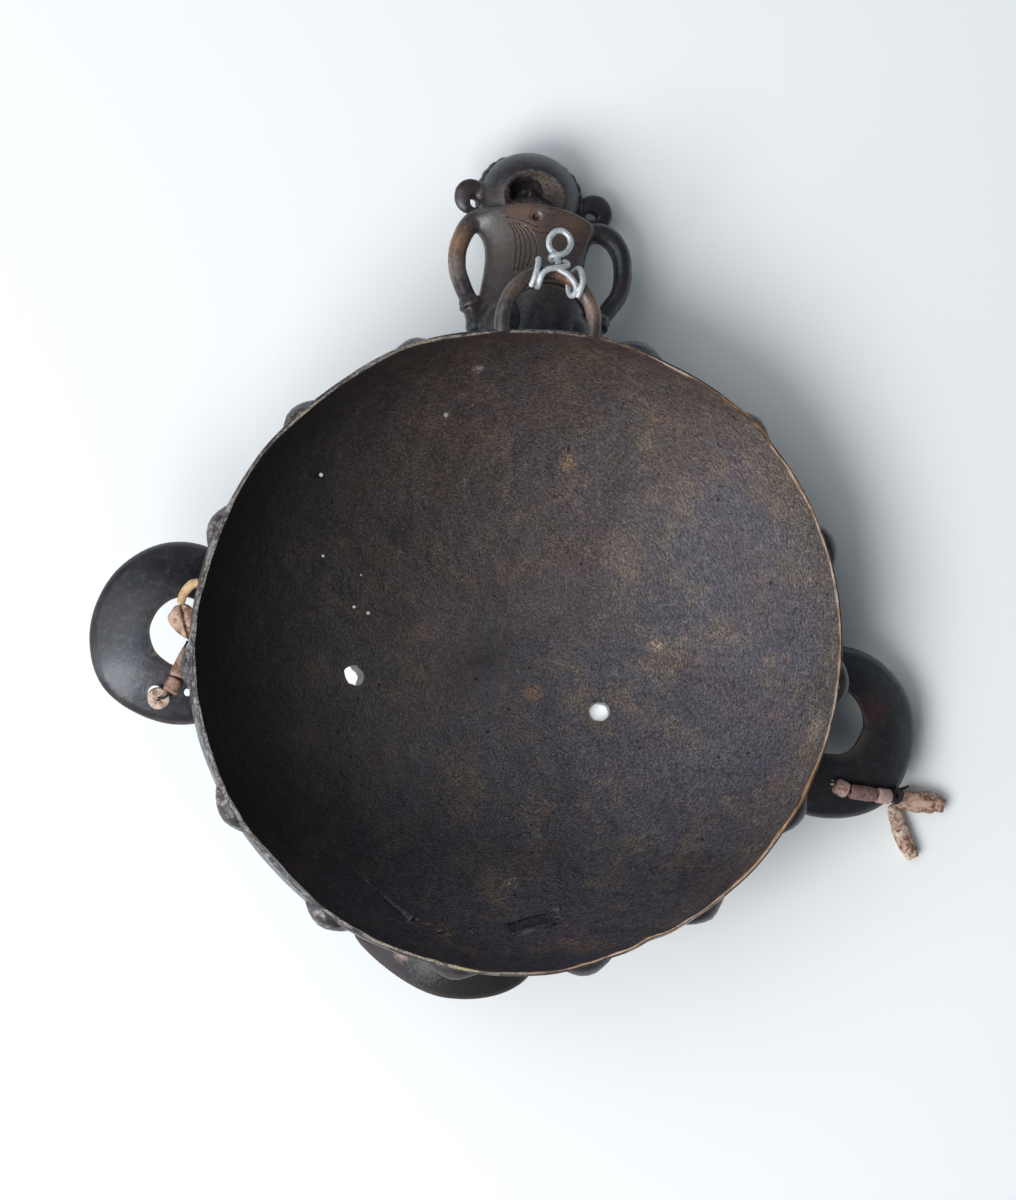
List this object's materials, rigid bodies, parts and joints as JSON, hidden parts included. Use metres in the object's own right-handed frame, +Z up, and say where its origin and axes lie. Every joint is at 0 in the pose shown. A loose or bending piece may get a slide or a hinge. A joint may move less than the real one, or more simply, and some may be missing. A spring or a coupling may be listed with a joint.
{
  "type": "cast bronze face mask with crest figure",
  "caption": "Round hollow cast face mask with ring ears, a seated crest figure, a suspension ring with a wire and beaded ear strings, lying on its face.",
  "frame": {"origin": "under the middle of the box of the casting and its wire, on the surface that the mask lies on", "axes": "+Z up out of the hollow, +Y towards the crest figure, +X towards the ear that is on the right as seen from behind; the mask lies on its face, tipped about 14 degrees"},
  "size_m": [0.402, 0.3952, 0.1311],
  "materials": {
    "bronze": "dark brown-black cast bronze patina, satin outside and rough inside, worn to copper on the rim",
    "galvanised_wire": "light grey galvanised iron wire",
    "clay": "matt pinkish-brown fired clay beads with dark stains",
    "hide": "dry tan and yellowish dried pod or hide, creased",
    "thread": "black twisted cotton thread"
  },
  "bodies": {
    "root": {"mask_casting": "bronze", "hanging_wire": "galvanised_wire", "left_thread": "thread", "left_ring_bead": "clay", "left_tube_bead": "clay", "left_cone_bead": "clay", "left_folded_pendant": "hide", "left_curved_pendant": "hide", "right_thread": "thread", "right_ring_bead": "clay", "right_long_bead": "clay", "right_short_bead": "clay", "right_straight_pendant": "hide", "right_curved_pendant": "hide"}
  },
  "joints": []
}
